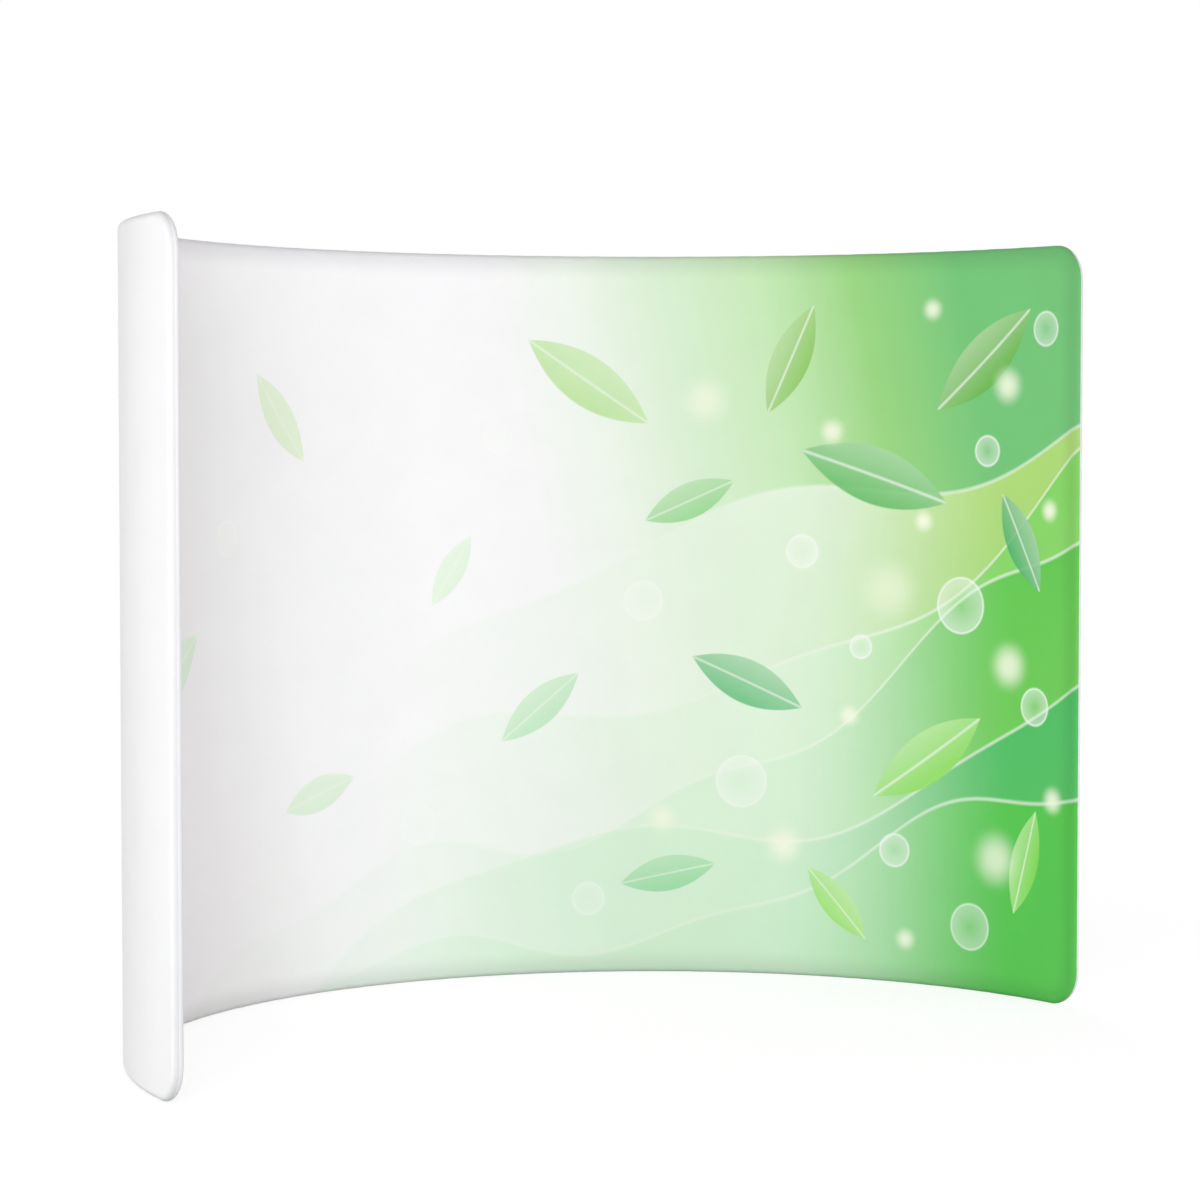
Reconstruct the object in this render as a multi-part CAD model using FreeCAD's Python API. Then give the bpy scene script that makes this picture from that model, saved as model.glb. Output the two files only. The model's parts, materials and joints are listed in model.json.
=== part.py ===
import FreeCAD, Part
import math
import os

# Free-standing fabric display wall, bent to a half circle in plan.
# A frame of plug-together aluminium tube stands inside a stretched cloth cover, like a pillow in its case.
# The printed panel lies on the hollow side of the arc, and the plain white panel on the outside.
# Each tube joint has a spigot riveted into one tube and a sprung button that snaps through the next.
# A zip low on the back opens the cover.
# Lengths are in millimetres and angles in degrees. +Z is up and the open side of the arc faces -Y.
# The origin is on the floor, at the centre of the wall's bounding box.
# An angle along the wall is counted from its middle, and grows towards +X.

os.makedirs("parts", exist_ok=True)

# Whole wall
wall_height = 2300.0
arc_radius = 1475.0
arc_angle = 180.0
corner_radius = 90.0

# Round tube of the outer frame
tube_diameter = 32.0
tube_wall = 1.5
rail_section_count = 4
rail_lead_length = 100.0
butt_gap = 0.4

# Thinner tube of the inner supports
support_diameter = 25.0
support_wall = 1.5
bay_count = 3
support_end_gap = 1.0
stub_length = 85.0

# Spigots that plug into the tubes
spigot_length = 120.0
spigot_wall = 2.0
spigot_clearance = 0.2

# Rivets that hold the spigots
# A place share below is the distance from the joint, as a share of the spigot's length.
rivet_diameter = 4.0
rivet_hole_clearance = 0.05
rivet_head_diameter = 7.0
rivet_head_height = 1.2
rivet_place_share = 0.25
rivet_tail = 1.0

# Sprung buttons and their leaf springs
button_diameter = 7.0
button_proud = 2.5
button_edge_round = 1.5
button_hole_clearance = 0.6
button_release = 0.5
button_place_share = 0.25
stub_button_offset = 65.0
leaf_length = 38.0
leaf_tail = 5.0
leaf_width = 5.5
leaf_thickness = 0.6
leaf_clearance = 0.3
fold_radius = 0.9
fold_gap = 3.0

# Cloth cover
cloth_thickness = 1.0
cloth_clearance = 0.3
foot_flat_depth = 0.5

# Zip in the back panel
zip_height = 36.0
zip_start_angle = -56.0
zip_end_angle = 84.0
zip_slot_height = 8.0
zip_tape_width = 10.5
zip_tape_thickness = 0.7
zip_tape_overrun = 8.0
zip_row_gap = 1.1
coil_width = 2.6
coil_thickness = 2.3
stop_length = 3.0
stop_thickness = 0.8

# Zip slider and its pull
slider_park_distance = 12.0
slider_length = 9.0
slider_width = 9.0
slider_plate = 1.0
slider_corner = 2.0
slider_clearance = 0.3
slider_post_length = 3.5
slider_post_thickness = 0.5
slider_flange_thickness = 0.9
pull_bar_diameter = 1.4
pull_bar_height = 2.2
pull_bar_clearance = 0.25
pull_eye_diameter = 3.6
pull_length = 26.0
pull_width = 4.4
pull_thickness = 1.2
pull_leg_thickness = 0.9
pull_side_gap = 0.3

# Sizes worked out from those above
tube_radius = tube_diameter / 2
tube_bore = tube_radius - tube_wall
support_radius = support_diameter / 2
support_bore = support_radius - support_wall
cloth_inner = tube_radius + cloth_clearance
cloth_outer = cloth_inner + cloth_thickness
bottom_rail_height = cloth_outer - foot_flat_depth
top_rail_height = wall_height - cloth_outer
middle_height = (bottom_rail_height + top_rail_height) / 2
rivet_offset = spigot_length * rivet_place_share
button_offset = spigot_length * button_place_share
bend_angle = arc_angle / 2 - math.degrees(math.atan(corner_radius / arc_radius))
lead_angle = bend_angle - math.degrees(rail_lead_length / arc_radius)
section_angle = 2 * lead_angle / rail_section_count

quarter_turn = 90.0
up = FreeCAD.Vector(0, 0, 1)
down = FreeCAD.Vector(0, 0, -1)
arc_axis = FreeCAD.Vector(0, 0, 0)
mirror_plane = FreeCAD.Vector(1, 0, 0)


# Directions and places on the arc
def outward(angle):
    """Direction from the arc's axis out through the wall."""
    turn = math.radians(angle)
    return FreeCAD.Vector(math.sin(turn), math.cos(turn), 0)


def tangent(angle):
    """Direction along the wall, towards growing angles."""
    turn = math.radians(angle)
    return FreeCAD.Vector(math.cos(turn), -math.sin(turn), 0)


def on_arc(radius, angle, height):
    return outward(angle) * radius + up * height


def frame_at(point, along, out):
    """Placement whose X runs along a tube and whose Z points the way a button or a slider faces."""
    return FreeCAD.Placement(point, FreeCAD.Rotation(along, out.cross(along), out, "ZXY"))


def placed(shape, placement):
    moved = shape.copy()
    moved.Placement = placement.multiply(moved.Placement)
    return moved


def box(low, high):
    size = high - low
    return Part.makeBox(size.x, size.y, size.z, low)


def joined(first, others):
    return first.fuse(others).removeSplitter()


# Tubes
def ring(point, along, outer, inner):
    """Flat ring face, the section of a tube."""
    disc = Part.Face(Part.Wire(Part.makeCircle(outer, point, along)))
    hole = Part.Face(Part.Wire(Part.makeCircle(inner, point, along)))
    return disc.cut(hole).Faces[0]


def arc_tube(start, end, height, outer, inner):
    """Tube bent along the wall between two angles."""
    section = ring(on_arc(arc_radius, end, height), tangent(end), outer, inner)
    return section.revolve(arc_axis, up, end - start)


def straight_tube(point, along, length, outer, inner):
    return ring(point, along, outer, inner).extrude(along * length)


def bent_upright():
    """Upper half of the upright at the +X end: a lead of rail, the bent corner and the straight leg."""
    along = tangent(bend_angle)
    corner_start = on_arc(arc_radius, bend_angle, top_rail_height)
    corner_centre = corner_start + down * corner_radius
    corner_end = corner_centre + along * corner_radius
    lead = arc_tube(joint_face(lead_angle, 1), bend_angle, top_rail_height, tube_radius, tube_bore)
    corner_section = ring(corner_start, along, tube_radius, tube_bore)
    corner = corner_section.revolve(corner_centre, outward(bend_angle), quarter_turn)
    leg_length = corner_end.z - middle_height - butt_gap / 2
    leg = straight_tube(corner_end, down, leg_length, tube_radius, tube_bore)
    return joined(lead, [corner, leg])


def joint_face(angle, side):
    """Angle of a tube's end face beside a rail joint, half the butt gap away from it."""
    return angle + side * math.degrees(butt_gap / 2 / arc_radius)


# Tube sizes that the joints are made for: the outer frame, and the supports
class TubeFit:
    def __init__(self, outer, bore):
        self.outer = outer
        self.bore = bore
        self.spigot = bore - spigot_clearance
        self.spigot_bore = self.spigot - spigot_wall
        flat_reach = math.sqrt(self.spigot_bore ** 2 - (leaf_width / 2) ** 2) - leaf_clearance
        self.leaf_height = flat_reach - leaf_thickness / 2
        self.pivot_height = flat_reach - fold_radius
        self.tip_height = outer + button_proud
        self.travel = self.tip_height - bore + button_release


frame_fit = TubeFit(tube_radius, tube_bore)
support_fit = TubeFit(support_radius, support_bore)


class TubeJoint:
    """One plug-in joint. station(distance) is the placement that far past it, on the button's side."""

    def __init__(self, name, fit, station, button_at=button_offset, rivet_at=rivet_offset):
        self.name = name
        self.fit = fit
        self.station = station
        self.button_at = button_at
        self.rivet_at = rivet_at

    def button_hole(self):
        radius = button_diameter / 2 + button_hole_clearance
        hole = Part.makeCylinder(radius, self.fit.tip_height)
        return placed(hole, self.station(self.button_at))

    def rivet_hole(self):
        hole = Part.makeCylinder(rivet_diameter / 2 + rivet_hole_clearance, self.fit.tip_height)
        return placed(hole, self.station(-self.rivet_at))

    def rivet(self):
        fit = self.fit
        foot = fit.spigot_bore - rivet_tail
        shank = Part.makeCylinder(rivet_diameter / 2, fit.outer - foot, up * foot)
        head = Part.makeCylinder(rivet_head_diameter / 2, rivet_head_height, up * fit.outer)
        return placed(joined(shank, [head]), self.station(-self.rivet_at))

    def pivot(self):
        """Fold of the leaf spring, about which the button swings."""
        return FreeCAD.Vector(-leaf_length, 0, self.fit.pivot_height)

    def button(self):
        """Moving leg of the leaf spring with the button on it."""
        fit = self.fit
        rise = math.degrees(math.atan((fit.leaf_height - fit.pivot_height) / leaf_length))
        low = FreeCAD.Vector(fold_gap, -leaf_width / 2, -leaf_thickness / 2)
        high = FreeCAD.Vector(leaf_length + leaf_tail, leaf_width / 2, leaf_thickness / 2)
        leg = box(low, high)
        leg.rotate(arc_axis, FreeCAD.Vector(0, 1, 0), -rise)
        leg.translate(self.pivot())
        stem_length = fit.tip_height - fit.leaf_height
        stem = Part.makeCylinder(button_diameter / 2, stem_length, up * fit.leaf_height)
        rim = [edge for edge in stem.Edges if edge.BoundBox.ZMin > fit.tip_height - leaf_thickness]
        stem = stem.makeFillet(button_edge_round, rim)
        return placed(joined(leg, [stem]), self.station(self.button_at))

    def fixed_leg(self):
        """Other leg of the leaf spring, from the fold across to the far wall of the spigot."""
        fit = self.fit
        pivot = self.pivot()
        drop = pivot.z + fit.leaf_height
        slope = math.degrees(math.atan(drop / leaf_length))
        reach = math.hypot(drop, leaf_length)
        low = FreeCAD.Vector(0, -leaf_width / 2, -leaf_thickness / 2)
        leg = box(low, FreeCAD.Vector(reach, leaf_width / 2, leaf_thickness / 2))
        leg.rotate(arc_axis, FreeCAD.Vector(0, 1, 0), slope)
        across = FreeCAD.Vector(0, 1, 0)
        fold = Part.makeCylinder(fold_radius, leaf_width, across * (-leaf_width / 2), across)
        whole = joined(leg, [fold])
        whole.translate(pivot)
        return placed(whole, self.station(self.button_at))

    def hinge(self):
        """Hinge point, axis and travel in degrees; a positive turn presses the button in."""
        station = self.station(self.button_at)
        axis = station.Rotation.multVec(FreeCAD.Vector(0, 1, 0))
        return station.multVec(self.pivot()), axis, math.degrees(self.fit.travel / leaf_length)


def rail_station(angle, height, side, out):
    def station(distance):
        here = angle + side * math.degrees(distance / arc_radius)
        return frame_at(on_arc(arc_radius, here, height), tangent(here) * side, out)

    return station


def straight_station(point, along, out):
    def station(distance):
        return frame_at(point + along * distance, along, out)

    return station


# The joints of the top and bottom rails, counted from the -X end
rail_joint_angles = [-lead_angle + section_angle * step for step in range(rail_section_count + 1)]


def rail_joints(rail, height, out):
    """Joints along one rail: each section's spigot plugs into the next, and the last into an upright."""
    joints = []
    for number, angle in enumerate(rail_joint_angles, start=1):
        side = -1 if number == 1 else 1
        station = rail_station(angle, height, side, out)
        joints.append(TubeJoint(f"{rail}_button_{number}", frame_fit, station))
    return joints


top_joints = rail_joints("top_rail", top_rail_height, down)
bottom_joints = rail_joints("bottom_rail", bottom_rail_height, up)

# The joints half way up the two end uprights
upright_point = on_arc(arc_radius, bend_angle, middle_height) + tangent(bend_angle) * corner_radius
upright_facing = tangent(bend_angle) * -1
left_point = FreeCAD.Vector(-upright_point.x, upright_point.y, upright_point.z)
left_facing = FreeCAD.Vector(-upright_facing.x, upright_facing.y, 0)
right_station = straight_station(upright_point, up, upright_facing)
left_station = straight_station(left_point, up, left_facing)
right_joint = TubeJoint("right_upright_button", frame_fit, right_station)
left_joint = TubeJoint("left_upright_button", frame_fit, left_station)

# The supports stand between equal bays of the arc
support_angles = [arc_angle * (bay / bay_count) - arc_angle / 2 for bay in range(1, bay_count)]
inner_names = [f"inner_support_{number}" for number in range(2, bay_count - 1)]
support_names = ["left_support"] + inner_names + ["right_support"]


def support_joints(name, angle):
    """Lower stub, middle and upper stub joints of one support."""
    facing = tangent(angle)
    foot = straight_station(on_arc(arc_radius, angle, bottom_rail_height), up, facing)
    middle = straight_station(on_arc(arc_radius, angle, middle_height), up, facing)
    head = straight_station(on_arc(arc_radius, angle, top_rail_height), down, facing)
    return [
        TubeJoint(f"{name}_foot_button", support_fit, foot, stub_button_offset),
        TubeJoint(f"{name}_middle_button", support_fit, middle),
        TubeJoint(f"{name}_head_button", support_fit, head, stub_button_offset),
    ]


support_sets = [support_joints(name, angle) for name, angle in zip(support_names, support_angles)]
frame_joints = top_joints + bottom_joints + [left_joint, right_joint]
spigot_joints = frame_joints + [group[1] for group in support_sets]
all_joints = frame_joints + [joint for group in support_sets for joint in group]


# Frame pieces
def rail_section(number, height, joints):
    """One curved section, with its rivet and button holes."""
    start = joint_face(rail_joint_angles[number - 1], 1)
    end = joint_face(rail_joint_angles[number], -1)
    tube = arc_tube(start, end, height, tube_radius, tube_bore)
    first, last = joints[number - 1], joints[number]
    start_hole = first.rivet_hole() if number == 1 else first.button_hole()
    return tube.cut([start_hole, last.rivet_hole()])


def upright_half(left, lower):
    """Half of an end upright with its corner, drilled where the rail and the other half plug in."""
    tube = bent_upright()
    if lower:
        tube = tube.mirror(up * middle_height, up)
    if left:
        tube = tube.mirror(arc_axis, mirror_plane)
    rail = bottom_joints if lower else top_joints
    middle_joint = left_joint if left else right_joint
    middle_hole = middle_joint.rivet_hole() if lower else middle_joint.button_hole()
    return tube.cut([rail[0 if left else -1].button_hole(), middle_hole])


def support_half(angle, joints, lower):
    """Half of an inner support: it slips over the rail's stub and butts on its other half."""
    foot_joint, middle_joint, head_joint = joints
    standoff = tube_radius + support_end_gap
    if lower:
        start = on_arc(arc_radius, angle, bottom_rail_height + standoff)
        length = middle_height - butt_gap / 2 - start.z
        holes = [foot_joint.button_hole(), middle_joint.rivet_hole()]
    else:
        start = on_arc(arc_radius, angle, middle_height + butt_gap / 2)
        length = top_rail_height - standoff - start.z
        holes = [head_joint.button_hole(), middle_joint.button_hole()]
    return straight_tube(start, up, length, support_radius, support_bore).cut(holes)


def rail_spigot(joint, angle, height):
    reach = math.degrees(spigot_length / 2 / arc_radius)
    sleeve = arc_tube(angle - reach, angle + reach, height, frame_fit.spigot, frame_fit.spigot_bore)
    return sleeve.cut([joint.button_hole(), joint.rivet_hole()])


def straight_spigot(joint):
    """Spigot across a joint between two straight tubes."""
    base = joint.station(-spigot_length / 2)
    along = base.Rotation.multVec(FreeCAD.Vector(1, 0, 0))
    fit = joint.fit
    sleeve = straight_tube(base.Base, along, spigot_length, fit.spigot, fit.spigot_bore)
    return sleeve.cut([joint.button_hole(), joint.rivet_hole()])


def rail_stub(joint, angle, height):
    """Stub welded on a rail, cut to sit on the round tube."""
    base = joint.station(0)
    along = base.Rotation.multVec(FreeCAD.Vector(1, 0, 0))
    fit = joint.fit
    sleeve = straight_tube(base.Base, along, stub_length, fit.spigot, fit.spigot_bore)
    reach = math.degrees(tube_diameter / arc_radius)
    rail_end = on_arc(arc_radius, angle + reach, height)
    section = Part.Face(Part.Wire(Part.makeCircle(tube_radius, rail_end, tangent(angle + reach))))
    rail = section.revolve(arc_axis, up, 2 * reach)
    return sleeve.cut([rail, joint.button_hole()])


# Cloth cover
def cover_profile(side):
    """Section of a panel at the start of the corner: flat over the rails and rolled half way round them."""
    diagonal = math.sqrt(0.5)

    def at(reach, height):
        return on_arc(arc_radius + side * reach, bend_angle, height)

    def roll(rail_height, way, reach, outwards):
        ends = [at(reach, rail_height), at(0, rail_height + way * reach)]
        if not outwards:
            ends.reverse()
        middle = at(reach * diagonal, rail_height + way * reach * diagonal)
        return Part.Arc(ends[0], middle, ends[1]).toShape()

    low, high = bottom_rail_height, top_rail_height
    edges = [
        Part.makeLine(at(cloth_outer, low), at(cloth_outer, high)),
        roll(high, 1, cloth_outer, True),
        Part.makeLine(at(0, high + cloth_outer), at(0, high + cloth_inner)),
        roll(high, 1, cloth_inner, False),
        Part.makeLine(at(cloth_inner, high), at(cloth_inner, low)),
        roll(low, -1, cloth_inner, True),
        Part.makeLine(at(0, low - cloth_inner), at(0, low - cloth_outer)),
        roll(low, -1, cloth_outer, False),
    ]
    return Part.Face(Part.Wire(edges))


def roll_section(centre, face, edge):
    """Quarter ring of cloth over a tube, from its face direction to its edge direction."""
    diagonal = (face + edge).normalize()
    outer = [centre + way * cloth_outer for way in (face, diagonal, edge)]
    inner = [centre + way * cloth_inner for way in (edge, diagonal, face)]
    edge_side = Part.makeLine(outer[-1], inner[0])
    face_side = Part.makeLine(inner[-1], outer[0])
    outer_side = Part.Arc(*outer).toShape()
    inner_side = Part.Arc(*inner).toShape()
    return Part.Face(Part.Wire([outer_side, edge_side, inner_side, face_side]))


def cover_end(side):
    """Flat end of a panel at +X, inside the bent corners, with its rolled edge."""
    along = tangent(bend_angle)
    normal = outward(bend_angle)
    face = normal * side
    top = on_arc(arc_radius, bend_angle, top_rail_height)
    bottom = on_arc(arc_radius, bend_angle, bottom_rail_height)
    top_centre = top + down * corner_radius
    bottom_centre = bottom + up * corner_radius
    top_end = top_centre + along * corner_radius
    bottom_end = bottom_centre + along * corner_radius
    top_middle = top_centre + (along + up).normalize() * corner_radius
    bottom_middle = bottom_centre + (along + down).normalize() * corner_radius
    outline = [
        Part.makeLine(bottom, top),
        Part.Arc(top, top_middle, top_end).toShape(),
        Part.makeLine(top_end, bottom_end),
        Part.Arc(bottom_end, bottom_middle, bottom).toShape(),
    ]
    sheet = Part.Face(Part.Wire(outline)).extrude(face * cloth_thickness)
    sheet.translate(face * cloth_inner)
    leg_length = top_end.z - bottom_end.z
    top_roll = roll_section(top, face, up).revolve(top_centre, normal, quarter_turn)
    leg_roll = roll_section(top_end, face, along).extrude(down * leg_length)
    bottom_roll = roll_section(bottom, face, down).revolve(bottom_centre, normal * -1, quarter_turn)
    return joined(sheet, [top_roll, leg_roll, bottom_roll])


def cover_panel(side):
    """Panel on the hollow side (-1) or the outside (1) of the arc, cut flat where it stands on the floor."""
    curved = cover_profile(side).revolve(arc_axis, up, 2 * bend_angle)
    right_end = cover_end(side)
    left_end = right_end.mirror(arc_axis, mirror_plane)
    panel = joined(curved, [right_end, left_end])
    span = arc_radius + tube_diameter
    low = FreeCAD.Vector(-span, -span, -foot_flat_depth * 2)
    high = FreeCAD.Vector(span, span, 0)
    return panel.cut(box(low, high))


# Zip
coil_floor = arc_radius + cloth_inner
coil_top = coil_floor + coil_thickness
tape_back = coil_floor - zip_tape_thickness


def curved_strip(start, end, near, far, low, high):
    """Strip bent round the arc between two angles, two radii and two heights."""
    rounds = [(near, low), (far, low), (far, high), (near, high), (near, low)]
    section = Part.Face(Part.makePolygon([on_arc(radius, end, height) for radius, height in rounds]))
    return section.revolve(arc_axis, up, end - start)


def arc_turn(length):
    """Angle that a length takes up along the zip."""
    return math.degrees(length / coil_floor)


def back_panel():
    margin = cloth_thickness
    slot_low = zip_height - zip_slot_height / 2
    slot = curved_strip(
        zip_start_angle, zip_end_angle,
        arc_radius + cloth_inner - margin, arc_radius + cloth_outer + margin,
        slot_low, slot_low + zip_slot_height,
    )
    return cover_panel(1).cut(slot)


def zip_tape(way):
    """Woven tape behind one edge of the slot: above it (1) or below it (-1)."""
    near_edge = zip_height + way * zip_row_gap / 2
    far_edge = near_edge + way * zip_tape_width
    start = zip_start_angle - arc_turn(zip_tape_overrun)
    end = zip_end_angle + arc_turn(zip_tape_overrun)
    low, high = min(near_edge, far_edge), max(near_edge, far_edge)
    return curved_strip(start, end, tape_back, coil_floor, low, high)


def zip_coil(way):
    """Row of teeth along one tape, between the end stops."""
    near_edge = zip_height + way * zip_row_gap / 2
    far_edge = near_edge + way * coil_width
    start = zip_start_angle + arc_turn(stop_length)
    end = zip_end_angle - arc_turn(stop_length)
    low, high = min(near_edge, far_edge), max(near_edge, far_edge)
    return curved_strip(start, end, coil_floor, coil_top, low, high)


def zip_stop(start):
    """Metal stop across both tapes at an end of the teeth."""
    end = start + arc_turn(stop_length)
    half_height = zip_row_gap / 2 + coil_width
    low, high = zip_height - half_height, zip_height + half_height
    return curved_strip(start, end, coil_floor, coil_floor + stop_thickness, low, high)


slider_angle = zip_end_angle - arc_turn(stop_length + slider_park_distance)
slider_travel = slider_angle - zip_start_angle - arc_turn(stop_length + slider_park_distance)
slider_point = on_arc(arc_radius, slider_angle, zip_height)
slider_place = frame_at(slider_point, tangent(slider_angle) * -1, outward(slider_angle))
plate_low = tape_back - arc_radius - slider_clearance - slider_plate
plate_high = coil_top - arc_radius + slider_clearance
bar_height = plate_high + slider_plate + pull_bar_height


def slider_plate_solid(height):
    low = FreeCAD.Vector(-slider_length / 2, -slider_width / 2, height)
    plate = box(low, low + FreeCAD.Vector(slider_length, slider_width, slider_plate))
    upright_edges = [edge for edge in plate.Edges if edge.BoundBox.ZLength > slider_plate / 2]
    return plate.makeFillet(slider_corner, upright_edges)


def zip_slider():
    """Two plates round the teeth, the post between the rows, the side flanges and the pull's bail."""
    post_low = FreeCAD.Vector(-slider_post_length / 2, -slider_post_thickness / 2, plate_low)
    post = box(post_low, FreeCAD.Vector(-post_low.x, -post_low.y, plate_high))
    flange_near = zip_row_gap / 2 + coil_width + slider_clearance
    flange_floor = cloth_outer + slider_clearance
    half_length = slider_length / 2 - slider_corner
    bar_radius = pull_bar_diameter / 2
    leg_near = pull_width / 2 + pull_side_gap
    leg_far = leg_near + pull_leg_thickness
    across = FreeCAD.Vector(0, 1, 0)
    bar = Part.makeCylinder(bar_radius, 2 * leg_far, FreeCAD.Vector(0, -leg_far, bar_height), across)
    pieces = [post, slider_plate_solid(plate_high), bar]
    for way in (-1, 1):
        edges = sorted([way * flange_near, way * (flange_near + slider_flange_thickness)])
        low = FreeCAD.Vector(-half_length, edges[0], flange_floor)
        pieces.append(box(low, FreeCAD.Vector(half_length, edges[1], plate_high + slider_plate)))
        edges = sorted([way * leg_near, way * leg_far])
        low = FreeCAD.Vector(-pull_leg_thickness, edges[0], plate_high)
        pieces.append(box(low, FreeCAD.Vector(pull_leg_thickness, edges[1], bar_height + pull_leg_thickness)))
    return placed(joined(slider_plate_solid(plate_low), pieces), slider_place)


def zip_pull():
    """Tab that turns on the slider's bar; it lies along the teeth when let go."""
    across = FreeCAD.Vector(0, 1, 0)
    near_side = FreeCAD.Vector(0, -pull_width / 2, 0)
    eye = Part.makeCylinder(pull_eye_diameter / 2, pull_width, near_side, across)
    low = FreeCAD.Vector(0, -pull_width / 2, -pull_thickness / 2)
    tab = box(low, FreeCAD.Vector(pull_length, pull_width / 2, pull_thickness / 2))
    tip_edges = [
        edge for edge in tab.Edges
        if edge.BoundBox.XMin > pull_length - pull_thickness and edge.BoundBox.ZLength > pull_thickness / 2
    ]
    tab = tab.makeFillet(pull_width / 2 - pull_thickness / 2, tip_edges)
    bore = Part.makeCylinder(pull_bar_diameter / 2 + pull_bar_clearance, pull_width, near_side, across)
    whole = joined(eye, [tab]).cut(bore)
    whole.translate(up * bar_height)
    return placed(whole, slider_place)


def build():
    """Every node by name, each a solid or a group of separate solids."""
    nodes = {
        "front_print_panel": [cover_panel(-1)],
        "back_panel": [back_panel()],
        "zip_upper_tape": [zip_tape(1)],
        "zip_lower_tape": [zip_tape(-1)],
        "zip_upper_coil": [zip_coil(1)],
        "zip_lower_coil": [zip_coil(-1)],
        "zip_end_stops": [zip_stop(zip_start_angle), zip_stop(zip_end_angle - arc_turn(stop_length))],
        "zip_slider": [zip_slider()],
        "zip_pull": [zip_pull()],
    }
    for number in range(1, rail_section_count + 1):
        nodes[f"top_rail_{number}"] = [rail_section(number, top_rail_height, top_joints)]
        nodes[f"bottom_rail_{number}"] = [rail_section(number, bottom_rail_height, bottom_joints)]
    for side in ("left", "right"):
        for half in ("upper", "lower"):
            nodes[f"{side}_upright_{half}"] = [upright_half(side == "left", half == "lower")]
    for name, angle, joints in zip(support_names, support_angles, support_sets):
        nodes[f"{name}_upper"] = [support_half(angle, joints, False)]
        nodes[f"{name}_lower"] = [support_half(angle, joints, True)]
    nodes["rail_spigots"] = [
        rail_spigot(joint, angle, height)
        for joints, height in ((top_joints, top_rail_height), (bottom_joints, bottom_rail_height))
        for joint, angle in zip(joints, rail_joint_angles)
    ]
    nodes["upright_spigots"] = [straight_spigot(joint) for joint in (left_joint, right_joint)]
    nodes["support_spigots"] = [straight_spigot(group[1]) for group in support_sets]
    nodes["rail_stubs"] = [
        rail_stub(joint, angle, height)
        for group, angle in zip(support_sets, support_angles)
        for joint, height in ((group[0], bottom_rail_height), (group[2], top_rail_height))
    ]
    nodes["spigot_rivets"] = [joint.rivet() for joint in spigot_joints]
    nodes["spring_fixed_legs"] = [joint.fixed_leg() for joint in all_joints]
    for joint in all_joints:
        nodes[joint.name] = [joint.button()]
    return nodes


def export(nodes):
    """Move the arc's axis to its place behind the origin and write one file for each node."""
    shift = FreeCAD.Vector(0, arc_axis_y, 0)
    for name, solids in nodes.items():
        shape = Part.makeCompound(solids) if len(solids) > 1 else solids[0]
        shape = shape.copy()
        shape.translate(shift)
        shape.exportStep(os.path.join("parts", name + ".step"))
        print(name, len(shape.Solids), "solids", round(shape.Volume), "mm3, valid:", shape.isValid())


# The teeth stand proudest at the back, and the rolled ends of the cover reach furthest forward
back_most = coil_top
front_most = upright_point.y - cloth_outer
arc_axis_y = -(back_most + front_most) / 2

all_nodes = build()
export(all_nodes)
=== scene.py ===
# %% [markdown]
# Fabric display wall, dressed for the camera
#
# The real object is a tube frame, bent to a half circle, inside a stretched cloth cover. The frame, the
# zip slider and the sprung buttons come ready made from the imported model. This lesson makes what a frame
# alone lacks: two cloth panels with rolled edges and a sewn seam, the zip's woven tapes and turns, its
# stitching, the printed design, and the finish of each metal.

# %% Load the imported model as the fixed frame
import functools
import json
import math

import bmesh
import bpy
import numpy as np
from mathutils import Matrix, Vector


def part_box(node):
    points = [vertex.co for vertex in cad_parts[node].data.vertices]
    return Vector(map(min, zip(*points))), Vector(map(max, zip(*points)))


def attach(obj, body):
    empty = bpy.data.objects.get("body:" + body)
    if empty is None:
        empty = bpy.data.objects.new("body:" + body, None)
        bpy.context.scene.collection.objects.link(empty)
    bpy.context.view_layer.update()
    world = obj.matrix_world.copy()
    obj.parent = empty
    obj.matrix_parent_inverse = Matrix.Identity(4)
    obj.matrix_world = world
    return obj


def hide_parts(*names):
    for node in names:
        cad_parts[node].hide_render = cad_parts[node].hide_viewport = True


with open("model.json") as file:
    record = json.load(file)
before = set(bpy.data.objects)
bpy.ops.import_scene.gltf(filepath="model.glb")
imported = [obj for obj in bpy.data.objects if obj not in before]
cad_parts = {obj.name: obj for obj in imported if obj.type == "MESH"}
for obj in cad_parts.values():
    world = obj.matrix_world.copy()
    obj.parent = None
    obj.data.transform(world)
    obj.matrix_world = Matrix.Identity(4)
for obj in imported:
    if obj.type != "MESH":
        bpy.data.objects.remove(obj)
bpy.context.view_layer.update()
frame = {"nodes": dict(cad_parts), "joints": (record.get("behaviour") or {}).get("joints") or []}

nodes = frame["nodes"]

# %% [markdown]
# Every size below is in metres. A cloth size such as a stitch is easier to read in millimetres, so one
# value turns millimetres to metres. Colours are written as sRGB hex values, as in a paint program, and
# one function turns them to the linear numbers that a shader wants.

# %% Units and colours
MM = 0.001


def colour(hex_value):
    """sRGB hex value to linear RGBA."""
    parts = [int(hex_value[i:i + 2], 16) / 255 for i in (1, 3, 5)]
    linear = [c / 12.92 if c <= 0.04045 else ((c + 0.055) / 1.055) ** 2.4 for c in parts]
    return (*linear, 1.0)


print("mid grey is", [round(c, 3) for c in colour("#808080")])

# %% [markdown]
# The wall's own geometry is read off the frame, so the cloth fits whatever was packed. The hinge that
# carries the zip slider stands on the arc's axis. A rail's box gives the tube's radius, the rail's height
# and the arc's radius.

# %% Sizes read from the frame
zip_joint = next(j for j in frame["joints"] if j["name"] == "zip_run")
axis_x, axis_y, zip_height = zip_joint["pos_m"]

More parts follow.
